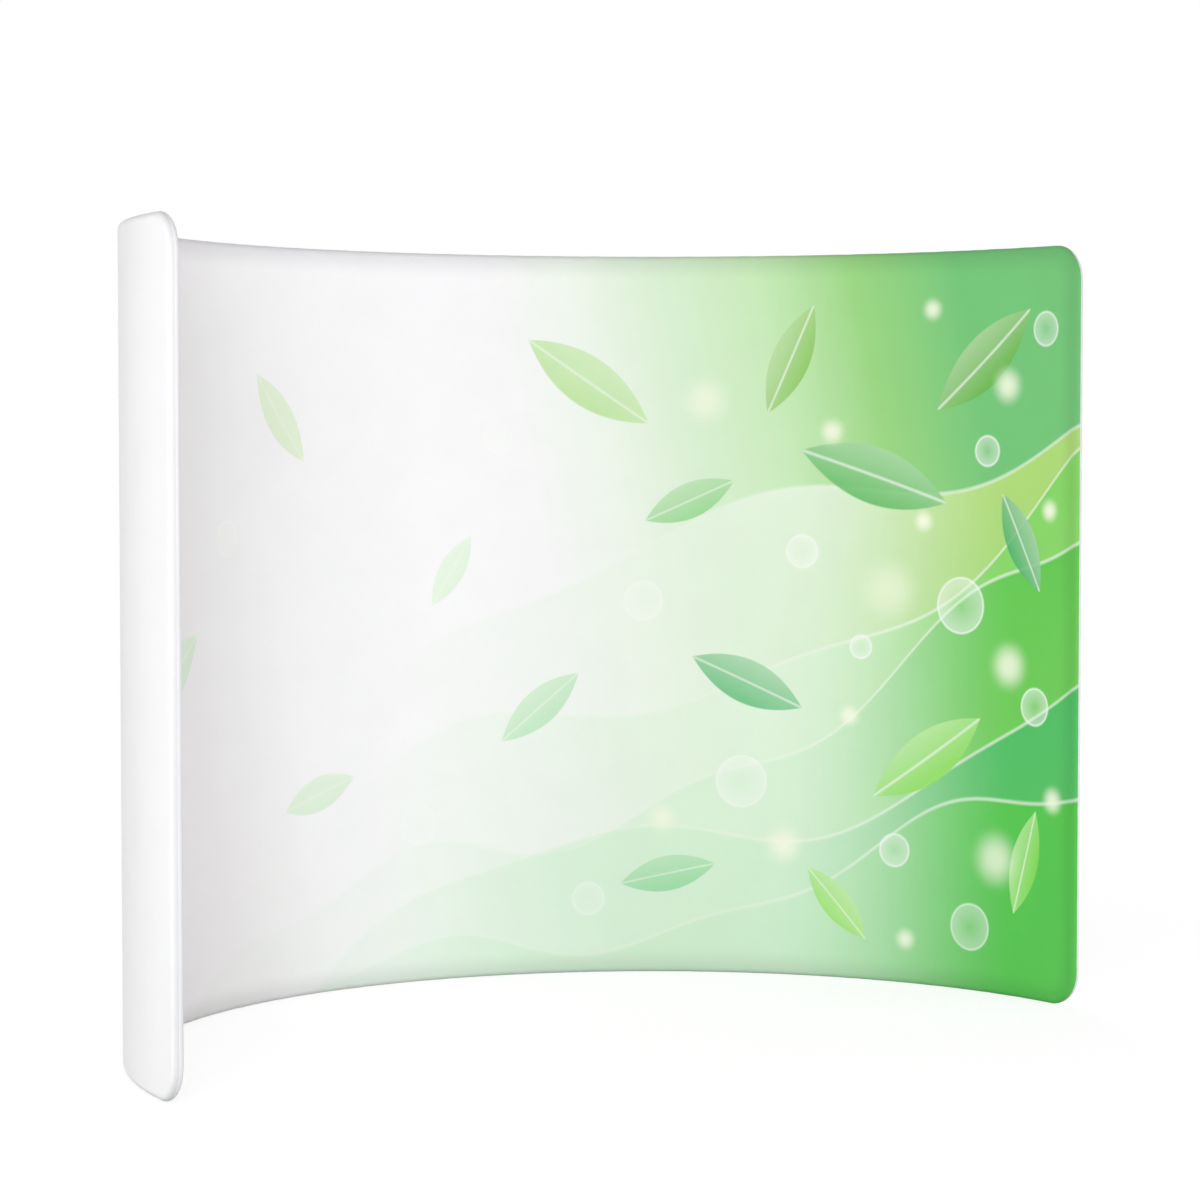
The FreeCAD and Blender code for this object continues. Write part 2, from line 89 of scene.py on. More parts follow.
rail_low, rail_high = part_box("top_rail_2")
tube_radius = (rail_high.z - rail_low.z) / 2
top_rail_height = (rail_high.z + rail_low.z) / 2
bottom_low, bottom_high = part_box("bottom_rail_2")
bottom_rail_height = (bottom_high.z + bottom_low.z) / 2
arc_radius = rail_high.y - axis_y - tube_radius

cloth_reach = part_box("front_print_panel")[1].z - top_rail_height
corner_radius = 90 * MM
bend_angle = math.pi / 2 - math.atan(corner_radius / arc_radius)
bend_length = arc_radius * bend_angle
print("arc radius", round(arc_radius, 4), "tube radius", round(tube_radius, 4))
print("cloth lies", round(cloth_reach / MM, 1), "mm from the tube's centre line")
print("straight end starts at", round(math.degrees(bend_angle), 2), "degrees")

# %% [markdown]
# A point of the cloth is found from where it lies on the flat cut: how far along the wall, how high, and
# how far it stands off the tube's centre line. Between the bent corners the wall follows the arc, and
# past them it runs straight.


# %% From the flat cut to the bent wall
def on_wall(along, height, offset):
    """Places in the room for places on the wall; offset counts outwards from the tube's centre line."""
    inside = np.clip(along, -bend_length, bend_length)
    angle = inside / arc_radius
    straight = along - inside
    radius = arc_radius + offset
    x = radius * np.sin(angle) + straight * np.cos(angle)
    y = radius * np.cos(angle) - straight * np.sin(angle)
    return np.stack([axis_x + x, axis_y + y, np.broadcast_to(height, x.shape)], axis=-1)


print("middle of the back:", on_wall(np.array(0.0), np.array(1.0), np.array(cloth_reach)).round(3))


# %% [markdown]
# All the meshes here are made of points and faces worked out with numpy. One function turns them into an
# object with smooth shading, and marks only the sharper folds as hard edges.

# %% Mesh helper
SHARP_FOLD = math.radians(50)


def mesh_object(name, points, faces):
    mesh = bpy.data.meshes.new(name)
    mesh.from_pydata(np.asarray(points).tolist(), [], faces)
    mesh.validate()
    outwards = bmesh.new()
    outwards.from_mesh(mesh)
    bmesh.ops.recalc_face_normals(outwards, faces=outwards.faces)
    outwards.to_mesh(mesh)
    outwards.free()
    mesh.shade_smooth()
    mesh.set_sharp_from_angle(angle=SHARP_FOLD)
    made = bpy.data.objects.new(name, mesh)
    bpy.context.scene.collection.objects.link(made)
    return made


print("hard edges from", round(math.degrees(SHARP_FOLD)), "degrees up")

# %% [markdown]
# Materials are node trees. One small function adds a node: it takes the kind of node, what goes into its
# sockets (a number, a colour or another node's output), and its settings.


# %% Node helper
def add(tree, kind, inputs=None, **settings):
    node = tree.nodes.new(kind)
    for name, value in settings.items():
        setattr(node, name, value)
    for socket, value in (inputs or {}).items():
        if isinstance(value, bpy.types.NodeSocket):
            tree.links.new(value, node.inputs[socket])
        else:
            node.inputs[socket].default_value = value
    return node


def new_material(name):
    """An empty material and the function that adds nodes to it."""
    material = bpy.data.materials.new(name)
    material.use_nodes = True
    material.node_tree.nodes.clear()
    return material, functools.partial(add, material.node_tree)


print("materials that came with the model:", len(bpy.data.materials))

# %% [markdown]
# The cover is like a pillowcase: a printed panel on the hollow side and a white one outside, sewn
# together along a seam on the crown of the tubes. A flat plane bent round would do for the middle, but
# the eye reads the cloth at its edges. So each panel is built from a grid in the middle and rings that
# follow the rounded outline: the last rings roll over the tube and dip into the seam.

# %% Samples round the outline
COLUMN_STEP = math.radians(0.5)
ROW_STEP = 26 * MM
CORNER_STEPS = 36
STOP_THICKNESS = 0.8 * MM

stops_low, stops_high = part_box("zip_end_stops")
stop_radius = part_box("zip_upper_tape")[1].y - axis_y + STOP_THICKNESS
zip_start = math.asin(stops_low.x / stop_radius)
zip_end = math.asin(stops_high.x / stop_radius)

half_columns = np.arange(0, bend_angle, COLUMN_STEP)
named_angles = [-bend_angle, bend_angle, zip_start, zip_end]
column_angles = np.concatenate([-half_columns[::-1], half_columns, named_angles])
columns = np.unique(column_angles.round(5)) * arc_radius
inner_low, inner_high = bottom_rail_height + corner_radius, top_rail_height - corner_radius
rows = np.linspace(inner_low, inner_high, round((inner_high - inner_low) / ROW_STEP) + 1)


def outline_samples():
    """Base points on the inner rectangle, directions out of it, and lengths round the outline."""
    quarter = np.arange(1, CORNER_STEPS) / CORNER_STEPS * math.pi / 2
    first, last = columns[0], columns[-1]
    runs = [
        (columns, inner_low, -math.pi / 2), (last, inner_low, quarter - math.pi / 2),
        (last, rows, 0.0), (last, inner_high, quarter),
        (columns[::-1], inner_high, math.pi / 2), (first, inner_high, quarter + math.pi / 2),
        (first, rows[::-1], math.pi), (first, inner_low, quarter + math.pi),
    ]
    base, way = [], []
    for along, height, turn in runs:
        along, height, turn = np.broadcast_arrays(along, height, turn)
        base.append(np.stack([along, height], axis=-1))
        way.append(np.stack([np.cos(turn), np.sin(turn)], axis=-1))
    base, way = np.concatenate(base), np.concatenate(way)
    edge = base + way * corner_radius
    steps = np.linalg.norm(np.diff(edge, axis=0, prepend=edge[-1:]), axis=1)
    return base, way, np.cumsum(steps)


base_points, edge_ways, round_length = outline_samples()
print("columns", len(columns), "rows", len(rows), "samples round the edge", len(base_points))
print("length round the outline in metres:", round(float(round_length[-1]), 2))

# %% [markdown]
# Cloth under tension is never quite even. Near a sewn edge it shows small ripples square to the seam, and
# at a bent corner the spare cloth gathers into short pleats. The middle of a panel has only slow, shallow
# waves. All of them are sums of sines, so the result is the same each time.

# %% Ripples of stretched cloth
SEAM_RIPPLE = 0.16 * MM
SEAM_RIPPLE_LENGTHS = (61 * MM, 97 * MM, 149 * MM)
RIPPLE_PHASE = 2.1
RIPPLE_FADE = 38 * MM
GATHER_DEPTH = 0.3 * MM
GATHERS_PER_CORNER = 7
SLOW_WAVE = 0.45 * MM
SLOW_LENGTHS = ((0.83, 1.9), (1.31, 1.1), (0.57, 2.7))


def edge_ripple(length_round, inset, way):
    """Ripple near the seam. way is the direction out of the panel, which turns at the corners."""
    waves = sum(
        np.sin(2 * math.pi * length_round / size + RIPPLE_PHASE * number)
        for number, size in enumerate(SEAM_RIPPLE_LENGTHS)
    )
    turn = np.arctan2(way[:, 1], way[:, 0])
    in_corner = np.abs(np.sin(2 * turn))
    gathers = np.sin(turn * 4 * GATHERS_PER_CORNER) * in_corner
    fade = np.exp(-inset / RIPPLE_FADE)
    return (SEAM_RIPPLE * waves + GATHER_DEPTH * gathers) * fade


def slow_wave(along, height):
    """Shallow waves across the whole panel."""
    waves = [
        np.sin(2 * math.pi * along / wide + number) * np.sin(2 * math.pi * height / tall)
        for number, (wide, tall) in enumerate(SLOW_LENGTHS)
    ]
    return SLOW_WAVE * sum(waves) / len(waves)


deepest = SEAM_RIPPLE * len(SEAM_RIPPLE_LENGTHS) + GATHER_DEPTH
print("deepest ripple in mm:", round(deepest / MM, 2))

# %% [markdown]
# One function makes either panel. Each layer of the cloth has a middle grid and the rings round it. The
# two layers meet at the seam and, on the white panel, in a rounded hem along the zip's slot. Every point
# also keeps its place on the flat cut and its distance from the edge, because the print and the painted
# shade near the seam are drawn there.

# %% Rings from the middle out to the seam
CLOTH_THICKNESS = 0.9 * MM
SEAM_DIP = 0.5 * MM
SEAM_WIDTH = 3 * MM
SLOT_HALF = 4 * MM
# How far into the slot, and how deep as a share of the cloth's thickness, row by row round the fold
HEM_FOLD = ((0.25 * MM, 0.1), (0.45 * MM, 0.35), (0.45 * MM, 0.65), (0.25 * MM, 0.9))

slot_insets = [zip_height - SLOT_HALF - bottom_rail_height, zip_height + SLOT_HALF - bottom_rail_height]
insets = np.array([66 * MM, 45 * MM, 33 * MM, slot_insets[1], slot_insets[0], 8 * MM, 0.0])
roll_turns = np.radians([8, 16, 24, 32, 40, 48, 56, 64, 72, 78, 82, 85, 87, 88.5, 90])
ring_insets = np.concatenate([insets, np.zeros(len(roll_turns))])
ring_turns = np.concatenate([np.zeros(len(insets)), roll_turns])


def ring_points(side, outer):
    """Points, and places on the flat cut, of every ring of one layer."""
    places, points = [], []
    for inset, turn in zip(ring_insets, ring_turns):
        reach = np.full(len(base_points), cloth_reach if outer else cloth_reach - CLOTH_THICKNESS)
        if outer:
            near_seam = np.clip(1 - (math.pi / 2 - turn) * cloth_reach / SEAM_WIDTH, 0, 1)
            reach = reach + edge_ripple(round_length, inset, edge_ways) - SEAM_DIP * near_seam ** 2
        out = corner_radius - inset + reach * math.sin(turn)
        along, height = (base_points + edge_ways * out[:, None]).T
        offset = side * (reach * math.cos(turn) + slow_wave(along, height) * math.cos(turn))
        height = np.maximum(height, 0.0)
        points.append(on_wall(along, height, offset))
        flat = base_points + edge_ways * (corner_radius - inset + cloth_reach * turn)
        from_edge = np.full(len(flat), inset + cloth_reach * (math.pi / 2 - turn))
        places.append(np.column_stack([flat, from_edge]))
    return points, places


def middle_points(side, outer):
    """Points, and places on the flat cut, of the grid in the middle of one layer."""
    along, height = np.meshgrid(columns, rows)
    reach = cloth_reach if outer else cloth_reach - CLOTH_THICKNESS
    along, height = along.ravel(), height.ravel()
    points = on_wall(along, height, side * (reach + slow_wave(along, height)))
    to_side = columns[-1] + corner_radius - np.abs(along)
    to_rail = np.minimum(height - bottom_rail_height, top_rail_height - height)
    from_edge = np.minimum(to_side, to_rail) + cloth_reach * math.pi / 2
    return points, np.column_stack([along, height, from_edge])


print("rings:", len(ring_insets), "of which on the roll:", len(roll_turns))

# %% [markdown]
# Faces join each ring to the next, from the grid in the middle out to the seam. Along the zip one ring of
# faces is left out, and that opening is the slot.

# %% Faces of one layer
column_count, row_count, sample_count = len(columns), len(rows), len(base_points)
nearest_column = np.searchsorted(columns, base_points[:, 0] - MM / 10)
nearest_row = np.searchsorted(rows, base_points[:, 1] - MM / 10)
inner_ring = nearest_row * column_count + nearest_column
slot_start = int(np.argmin(np.abs(columns - zip_start * arc_radius)))
slot_end = int(np.argmin(np.abs(columns - zip_end * arc_radius)))


def layer_faces(first, with_slot):
    """Quads of one layer whose points start at index first; triangles close the fans at the corners."""
    faces = []
    for row in range(row_count - 1):
        for column in range(column_count - 1):
            corner = first + row * column_count + column
            faces.append((corner, corner + 1, corner + column_count + 1, corner + column_count))
    rings = [first + inner_ring]
    for number in range(len(ring_insets)):
        rings.append(first + column_count * row_count + number * sample_count + np.arange(sample_count))
    slot_ring = 1 + int(np.argmin(np.abs(insets - slot_insets[1])))
    for number, (near, far) in enumerate(zip(rings, rings[1:])):
        for sample in range(sample_count):
            in_slot = number == slot_ring and slot_start <= sample < slot_end
            if with_slot and in_slot:
                continue
            after = (sample + 1) % sample_count
            corners = [near[after], near[sample], far[sample], far[after]]
            faces.append(tuple(dict.fromkeys(int(c) for c in corners)))
    return faces, rings[slot_ring], rings[slot_ring + 1], rings[-1]


print("slot runs over", slot_end - slot_start, "columns")

# %% [markdown]
# A cut edge would fray, so the cover is hemmed along the zip. A few rows of points round the fold from the
# outer layer to the inner one are enough, because the fold is less than a millimetre thick.


# %% Hem along the slot
def hem_rows(side):
    """Rows of the rounded hem that turns the cloth's edge in along the zip's slot."""
    run = columns[slot_start:slot_end + 1]
    low, high = zip_height - SLOT_HALF, zip_height + SLOT_HALF
    along = np.concatenate([run, run[::-1]])
    height = np.concatenate([np.full(len(run), low), np.full(len(run), high)])
    inwards = np.sign(zip_height - height)
    endwards = np.zeros(len(along))
    endwards[[0, -1]], endwards[[len(run) - 1, len(run)]] = 1.0, -1.0
    rows_made, places = [], []
    for step_in, step_down in HEM_FOLD:
        here_along, here_height = along + endwards * step_in, height + inwards * step_in
        offset = cloth_reach - step_down * CLOTH_THICKNESS + slow_wave(here_along, here_height)
        rows_made.append(on_wall(here_along, here_height, side * offset))
        # the zip's height is more than the width of the seam's painted shade, so the hem gets none of it
        places.append(np.column_stack([here_along, here_height, np.full(len(along), zip_height)]))
    return rows_made, places


hem_points, hem_places = hem_rows(1)
print("hem:", len(hem_points), "rows of", len(hem_points[0]), "points")

# %% [markdown]
# Each panel is now one closed sheet with a real thickness: two layers, joined along the seam and, on the
# white panel, through the hem.


# %% Panels
def cloth_panel(name, side, with_slot):
    points, places, faces, borders = [], [], [], []
    for outer in (True, False):
        first = sum(len(p) for p in points)
        middle, middle_places = middle_points(side, outer)
        ring_list, place_list = ring_points(side, outer)
        points += [middle, *ring_list]
        places += [middle_places, *place_list]
        layer, slot_top, slot_bottom, rim = layer_faces(first, with_slot)
        faces += layer
        run = np.arange(slot_start, slot_end + 1)
        borders.append((rim, np.concatenate([slot_bottom[run], slot_top[run[::-1]]])))
    joins = [[borders[0][0], borders[1][0]]]
    if with_slot:
        first = sum(len(p) for p in points)
        hem_size = len(hem_points[0])
        hems = [first + number * hem_size + np.arange(hem_size) for number in range(len(hem_points))]
        points += hem_points
        places += hem_places
        joins.append([borders[0][1], *hems, borders[1][1]])
    for loops in joins:
        for near, far in zip(loops, loops[1:]):
            for here, (a, b) in enumerate(zip(near, far)):
                faces.append((int(a), int(near[here - 1]), int(far[here - 1]), int(b)))
    panel = mesh_object(name, np.concatenate(points), faces)
    place = panel.data.attributes.new("cloth_place", "FLOAT_VECTOR", "POINT")
    place.data.foreach_set("vector", np.concatenate(places).astype(np.float32).ravel())
    print(name, len(panel.data.vertices), "points", len(panel.data.polygons), "faces")
    return panel


front_panel = cloth_panel("printed_panel", -1, False)
rear_panel = cloth_panel("white_panel", 1, True)

# %% [markdown]
# The zip is a coil zip: two woven tapes, and on each a plastic thread wound into turns that hook
# together. Each turn is a small bar that stands on the tape and bends over towards the other row. One
# turn is drawn once, and copied along the arc. The real turns are about 1.5 mm apart; here they are 3 mm
# apart, so that they still show.

# %% Strips and rows that follow the arc
ZIP_STEP = math.radians(1.0)


def tube_faces(ring_count, ring_size):
    """Faces of a tube of rings, closed at both ends."""
    faces = [tuple(range(ring_size)), tuple(range((ring_count - 1) * ring_size, ring_count * ring_size))]
    for ring in range(ring_count - 1):
        for here in range(ring_size):
            there = (here + 1) % ring_size
            low, high = ring * ring_size, (ring + 1) * ring_size
            faces.append((low + here, low + there, high + there, high + here))
    return faces


def strip_along(name, profile, start, end):
    """Sweep a closed profile of (height, offset) points along the arc."""
    angles = np.linspace(start, end, round((end - start) / ZIP_STEP) + 1)
    profile = np.array(profile)
    along = np.repeat(angles * arc_radius, len(profile))
    height = np.tile(profile[:, 0], len(angles))
    offset = np.tile(profile[:, 1], len(angles))
    return mesh_object(name, on_wall(along, height, offset), tube_faces(len(angles), len(profile)))


def row_along(name, shape_points, shape_faces, starts, lifts=0.0):
    """Copy a small shape, in (along, height, offset), to many places along the arc, each with a lift."""
    shape_points = np.array(shape_points)
    lifts = np.broadcast_to(lifts, len(starts))
    along = (np.asarray(starts)[:, None] + shape_points[:, 0]).ravel()
    height = np.tile(shape_points[:, 1], len(starts))
    offset = (lifts[:, None] + shape_points[:, 2]).ravel()
    faces = [
        tuple(copy * len(shape_points) + corner for corner in face)
        for copy in range(len(starts)) for face in shape_faces
    ]
    return mesh_object(name, on_wall(along, height, offset), faces)


print("sections of a strip stand", round(arc_radius * ZIP_STEP / MM, 1), "mm apart")

# %% Tapes
tape_low, tape_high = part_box("zip_upper_tape")
coil_low, coil_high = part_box("zip_upper_coil")
tape_floor = tape_high.y - axis_y - arc_radius
coil_top = coil_high.y - axis_y - arc_radius
tape_start = math.asin(tape_low.x / (arc_radius + tape_floor))
tape_end = math.asin(tape_high.x / (arc_radius + tape_floor))
row_gap = coil_low.z - zip_height
row_width = coil_high.z - coil_low.z
TAPE_THICKNESS = 0.7 * MM
CORD = 0.35 * MM
TIP_REACH = 0.25 * MM


def tape_profile(way):
    """Tape section: a rounded woven edge under the tips of the turns, and a thin selvedge at its far side."""
    near = zip_height + way * (row_gap - TIP_REACH)
    far = zip_height + way * (tape_high.z - zip_height)
    back, face = tape_floor - TAPE_THICKNESS, tape_floor
    return [
        (near, back + CORD), (near + way * CORD, back), (far - way * CORD, back), (far, back + CORD),
        (far, face - CORD / 2), (far - way * CORD, face), (near + way * CORD, face), (near, face - CORD / 2),
    ]


upper_tape = strip_along("upper_zip_tape", tape_profile(1), tape_start, tape_end)
lower_tape = strip_along("lower_zip_tape", tape_profile(-1), tape_start, tape_end)
print("tape", round((tape_high.z - tape_low.z) / MM, 1), "mm wide")
print("row of teeth", round(row_width / MM, 1), "mm wide")

# %% Turns of the two rows
TURN_PITCH = 3 * MM
TURN_HALF = 0.95 * MM
CROWN_SHARE = 0.55
BAR_THICKNESS = 0.45
BAR_LOWEST = 0.02
# Share of the way over to the tip, share of the rise, share of the width
TURN_STATIONS = (
    (0.0, 0.12, 0.75), (0.05, 0.62, 0.85), (0.2, 0.93, 0.9), (0.55, 1.0, 0.95), (0.85, 0.92, 1.0),
    (1.0, 0.62, 0.95), (0.97, 0.4, 0.6),
)


def turn_shape(way):
    """One turn: a bar from the tape's side of its row over to the tip beside the other row."""
    far = zip_height + way * (row_gap + row_width)
    tip = zip_height + way * (row_gap - TIP_REACH)
    rise = coil_top - tape_floor
    points = []
    for across, up, width in TURN_STATIONS:
        height = far + (tip - far) * across
        crown = tape_floor + rise * up
        floor = tape_floor + rise * max(up - BAR_THICKNESS, BAR_LOWEST)
        middle = (crown + floor) / 2
        half = TURN_HALF * width
        points += [(-half, height, floor), (-half, height, middle), (-half * CROWN_SHARE, height, crown)]
        points += [(half * CROWN_SHARE, height, crown), (half, height, middle), (half, height, floor)]
    return points, tube_faces(len(TURN_STATIONS), len(points) // len(TURN_STATIONS))


teeth_start = math.asin(coil_low.x / (arc_radius + coil_top)) * arc_radius
teeth_end = math.asin(coil_high.x / (arc_radius + coil_top)) * arc_radius
turn_places = np.arange(teeth_start + TURN_HALF, teeth_end - TURN_HALF - TURN_PITCH / 2, TURN_PITCH)
upper_turns = row_along("upper_zip_turns", *turn_shape(1), turn_places)
lower_turns = row_along("lower_zip_turns", *turn_shape(-1), turn_places + TURN_PITCH / 2)
print("turns in a row:", len(turn_places))

# %% [markdown]
# Topstitching holds the hemmed cloth on the tape: one row above the slot and one below it. A stitch is a
# short thread that sinks into the cloth at both ends.

# %% Topstitching
STITCH_PITCH = 3.6 * MM
STITCH_LENGTH = 2.7 * MM
THREAD = 0.32 * MM
THREAD_SIDES = 5
STITCH_MARGIN = 3 * MM
# Share of the stitch's length, lift and thickness in threads
STITCH_STATIONS = (
    (-0.5, -0.9, 0.6), (-0.36, 0.1, 1.0), (0.0, 0.45, 1.0), (0.36, 0.1, 1.0), (0.5, -0.9, 0.6),
)


def stitch_shape(height):
    points = []
    for share, lift, thick in STITCH_STATIONS:
        for corner in range(THREAD_SIDES):
            turn = 2 * math.pi * corner / THREAD_SIDES
            up = math.cos(turn) * THREAD * thick
            out = math.sin(turn) * THREAD * thick + lift * THREAD
            points.append((share * STITCH_LENGTH, height + up, cloth_reach + out))
    return points, tube_faces(len(STITCH_STATIONS), THREAD_SIDES)


def stitch_row(name, height):
    """A row of stitches that follows the cloth's own ripples and waves."""
    places = np.arange(zip_start * arc_radius, zip_end * arc_radius, STITCH_PITCH)
    run = slice(0, column_count)
    ripple = edge_ripple(round_length[run], height - bottom_rail_height, edge_ways[run])
    lifts = np.interp(places, columns, ripple) + slow_wave(places, height)
    return row_along(name, *stitch_shape(height), places, lifts)


upper_stitches = stitch_row("upper_zip_stitches", zip_height + SLOT_HALF + STITCH_MARGIN)
lower_stitches = stitch_row("lower_zip_stitches", zip_height - SLOT_HALF - STITCH_MARGIN)
print("points in a row of stitches:", len(upper_stitches.data.vertices))

# %% [markdown]
# The cloth is a warp-knitted polyester, the stretch fabric of such walls: dull, slightly soft, with fine
# upright wales. The eye gets that from a high roughness, a little sheen and a very fine bump, with painted
# shade in the knit's gaps. The real wales are about 0.6 mm apart; they are drawn 1.8 mm apart, so that a
# close view still shows them. Near the seam the colour is painted a shade greyer: painted shade of the roll.

# %% Knitted polyester
WALE_PITCH = 1.8 * MM
COURSE_PITCH = 2.4 * MM
KNIT_DEPTH = 0.08 * MM
COURSE_SHARE = 0.6
SLUB_SIZE, SLUB_SHARE = 14 * MM, 0.8
CLOUD_SIZE, CLOUD_SHADE = 180 * MM, "#FAFAFA"
# painted shade in the knit's gaps: the colour darkens where the relief is lowest
GAP_PAINTED_SHADE = "#F7F7F7"
LOWEST_RELIEF, HIGHEST_RELIEF = -1.2, 2.0
# Painted shade at the seam: its darkest colour, and how far into the panel it reaches
PRINT_SEAM_PAINTED_SHADE = ("#E9E9EA", 100 * MM)
WHITE_SEAM_PAINTED_SHADE = ("#DEDEDF", 34 * MM)


def knit_relief(node, place):
    """Height of the knit: upright wales, each broken by the courses of its loops."""
    parts = node("ShaderNodeSeparateXYZ", {0: place})
    rows = []
    for axis, pitch in (("X", WALE_PITCH), ("Y", COURSE_PITCH)):
        turn = node("ShaderNodeMath", {0: parts.outputs[axis], 1: 2 * math.pi / pitch}, operation="MULTIPLY")
        rows.append(node("ShaderNodeMath", {0: turn.outputs[0]}, operation="SINE").outputs[0])
    wale, course = rows
    loops = node("ShaderNodeMath", {0: wale, 1: course}, operation="MULTIPLY").outputs[0]
    relief = node("ShaderNodeMath", {0: loops, 1: COURSE_SHARE, 2: wale}, operation="MULTIPLY_ADD").outputs[0]
    slub = node("ShaderNodeTexNoise", {"Vector": place, "Scale": 1 / SLUB_SIZE, "Detail": 3.0}).outputs["Fac"]
    return node("ShaderNodeMath", {0: slub, 1: SLUB_SHARE, 2: relief}, operation="MULTIPLY_ADD").outputs[0]


def cloth_finish(node, place, plain, seam_painted_shade, painted_shade_width):
    """The knit's relief and gloss, and its colour with painted shade towards the seam and in the knit's gaps.
    """
    # painted shade: the colour darkens smoothly towards the seam
    from_edge = node("ShaderNodeSeparateXYZ", {0: place}).outputs["Z"]
    edge = node(
        "ShaderNodeMapRange", {"Value": from_edge, "From Max": painted_shade_width},
        interpolation_type="SMOOTHERSTEP",
    )
    cloud = node("ShaderNodeTexNoise", {"Vector": place, "Scale": 1 / CLOUD_SIZE, "Detail": 4.0})
    relief = knit_relief(node, place)
    span = {"Value": relief, "From Min": LOWEST_RELIEF, "From Max": HIGHEST_RELIEF}
    # how high the knit stands here; its low gaps get painted shade
    raised = node("ShaderNodeMapRange", span)
    # painted shade at the seam, random tone in clouds, painted shade in the knit's gaps
    shades = (
        (edge.outputs[0], seam_painted_shade), (cloud.outputs["Fac"], CLOUD_SHADE), (raised.outputs[0], GAP_PAINTED_SHADE),
    )
    mixed = plain
    for level, dark in shades:
        shade = node("ShaderNodeMix", {0: level, 6: colour(dark), 7: colour("#FFFFFF")}, data_type="RGBA")
        mixed = node(
            "ShaderNodeMix", {0: 1.0, 6: mixed, 7: shade.outputs[2]}, data_type="RGBA", blend_type="MULTIPLY",
        ).outputs[2]
    bump = node("ShaderNodeBump", {"Height": relief, "Distance": KNIT_DEPTH, "Strength": 0.5})
    shader = node(
        "ShaderNodeBsdfPrincipled",
        {
            "Base Color": mixed, "Normal": bump.outputs["Normal"], "Roughness": 0.85, "IOR": 1.5,
            "Specular IOR Level": 0.3, "Sheen Weight": 0.08, "Sheen Roughness": 0.5,
        },
    )
    node("ShaderNodeOutputMaterial", {"Surface": shader.outputs[0]})


white_knit, node = new_material("white_polyester_knit")
place = node("ShaderNodeAttribute", attribute_type="GEOMETRY", attribute_name="cloth_place").outputs["Vector"]
# painted shade darkens the white cloth towards its seam
cloth_finish(node, place, colour("#F7F7F8"), *WHITE_SEAM_PAINTED_SHADE)
rear_panel.data.materials.append(white_knit)
print("knit relief", KNIT_DEPTH / MM, "mm deep")

# %% [markdown]
# The print is dye-sublimated: the dye goes into the threads, so the printed cloth is as dull as the white
# one and only its colour changes. The design is a plain landscape of broad waves in mint and leaf green,
# with leaves, rings and soft spots of light over it. Each motif is a few maths nodes on the flat cut's
# own metres, so nothing stretches round the arc.

# %% Wash under the motifs
WASH_STOPS = (
    (0.0, "#FBFAFD"), (0.12, "#FBFAFD"), (0.2, "#F7EFF6"), (0.34, "#F9F1F8"), (0.44, "#FDF9FE"),
    (0.66, "#FDFAFE"), (0.72, "#F5FBF2"), (0.78, "#E0F4D9"), (0.85, "#CBEDBC"), (0.92, "#9CD784"),
    (1.0, "#74C77A"),
)
HALF_SPAN = 2.33
WASH_LEAN = 0.22

print_cloth, node = new_material("printed_polyester_knit")
place = node("ShaderNodeAttribute", attribute_type="GEOMETRY", attribute_name="cloth_place").outputs["Vector"]
parts = node("ShaderNodeSeparateXYZ", {0: place})
along, height = parts.outputs["X"], parts.outputs["Y"]
lean = node("ShaderNodeMath", {0: height, 1: WASH_LEAN, 2: along}, operation="MULTIPLY_ADD")
share = node("ShaderNodeMapRange", {"Value": lean.outputs[0], "From Min": -HALF_SPAN, "From Max": HALF_SPAN})
wash = node("ShaderNodeValToRGB", {"Fac": share.outputs[0]})
ramp = wash.color_ramp
for stop, (position, shade) in enumerate(WASH_STOPS):
    point = ramp.elements[stop] if stop < 2 else ramp.elements.new(position)
    point.position, point.color = position, colour(shade)
picture = wash.outputs["Color"]

# %% [markdown]
# A wave is everything below a curve: a straight slope with two sines on it. Its fill fades along the wall
# from one green to another, and is partly clear, so that waves behind it still show.

# %% Where the waves run
# Height at the middle and slope; two swells, each as height, length and start; colour at the left and at
# the right; strength at the left
WAVES = (
    (0.90, 0.42, (0.17, 3.9, 0.6), (0.05, 1.3, 2.0), "#EEF9EA", "#B4DE78", 0.0),
    (0.56, 0.46, (0.18, 3.3, 1.9), (0.04, 1.1, 0.4), "#E7F8E3", "#84D764", 0.05),
    (0.32, 0.42, (0.15, 2.9, 2.7), (0.05, 0.9, 1.2), "#DFF6DD", "#62C950", 0.1),
    (0.14, 0.34, (0.14, 2.5, 0.9), (0.03, 1.0, 2.6), "#D8F4D8", "#4EC066", 0.15),
    (0.02, 0.24, (0.11, 2.2, 2.2), (0.03, 0.8, 0.2), "#D6F3D6", "#56C84C", 0.2),
)
EDGE_SOFTNESS = 4 * MM
COLOURS_FROM, COLOURS_TO = 1.15, 2.1
GROWS_FROM, GROWS_TO, FULL_STRENGTH = -0.1, 1.5, 0.95
FADE_DEPTH, FADED_SHARE = 0.9, 0.55
LINE_WIDTH, LINE_STRENGTH = 9 * MM, 0.7
LINE_COLOUR = colour("#F4FBEF")
print("waves:", len(WAVES))

